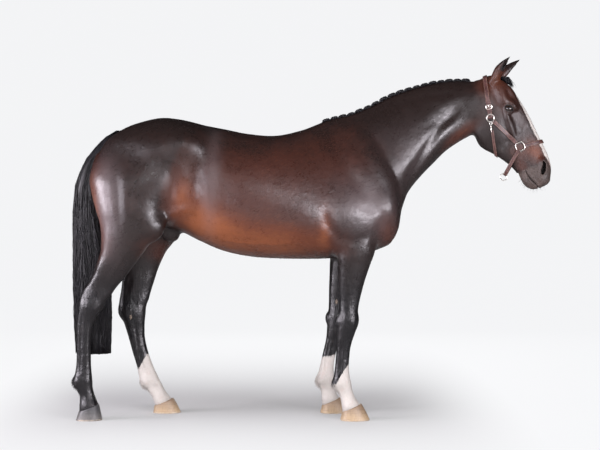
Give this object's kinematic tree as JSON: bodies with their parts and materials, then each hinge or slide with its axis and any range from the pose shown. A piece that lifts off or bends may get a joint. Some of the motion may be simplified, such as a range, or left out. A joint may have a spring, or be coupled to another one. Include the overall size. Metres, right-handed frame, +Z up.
{
  "type": "standing horse figure",
  "caption": "Life-size still model of a standing dark bay horse with plaited mane, banged tail and leather headcollar, looking ahead with the head turned slightly to its right.",
  "frame": {"origin": "middle of the overall box, on the floor under the hooves", "axes": "+X towards the head, +Y to the horse's left, +Z up"},
  "size_m": [2.6994, 0.6306, 2.0201],
  "materials": {
    "coat": "short, glossy summer coat: dark bay with tan muzzle and flanks, black legs and white socks",
    "black_hair": "long black hair",
    "hoof_pale": "pale horn with fine upright grain, satin",
    "hoof_dark": "dark grey horn with fine upright grain, satin",
    "eye": "dark brown, wet gloss",
    "headcollar_leather": "dark brown stitched strap leather, satin",
    "headcollar_metal": "pale polished metal fittings"
  },
  "bodies": {
    "root": {"trunk": "coat", "neck": "coat", "head": "coat", "ear_right": "coat", "ear_left": "coat", "eye_right": "eye", "eye_left": "eye", "foreleg_right_upper": "coat", "foreleg_right_lower": "coat", "foreleg_left_upper": "coat", "foreleg_left_lower": "coat", "hindleg_right_upper": "coat", "hindleg_right_lower": "coat", "hindleg_left_upper": "coat", "hindleg_left_lower": "coat", "hoof_fore_right": "hoof_pale", "hoof_fore_left": "hoof_pale", "hoof_hind_right": "hoof_dark", "hoof_hind_left": "hoof_pale", "tail": "black_hair", "mane": "black_hair", "forelock": "black_hair", "headcollar_crown": "headcollar_leather", "headcollar_noseband": "headcollar_leather", "headcollar_throat": "headcollar_leather", "headcollar_chin": "headcollar_leather", "headcollar_cheek_right": "headcollar_leather", "headcollar_cheek_left": "headcollar_leather", "headcollar_ring_right": "headcollar_metal", "headcollar_ring_left": "headcollar_metal", "headcollar_square_right": "headcollar_metal", "headcollar_square_left": "headcollar_metal", "headcollar_lead_ring": "headcollar_metal", "headcollar_snap": "headcollar_metal"}
  },
  "joints": []
}
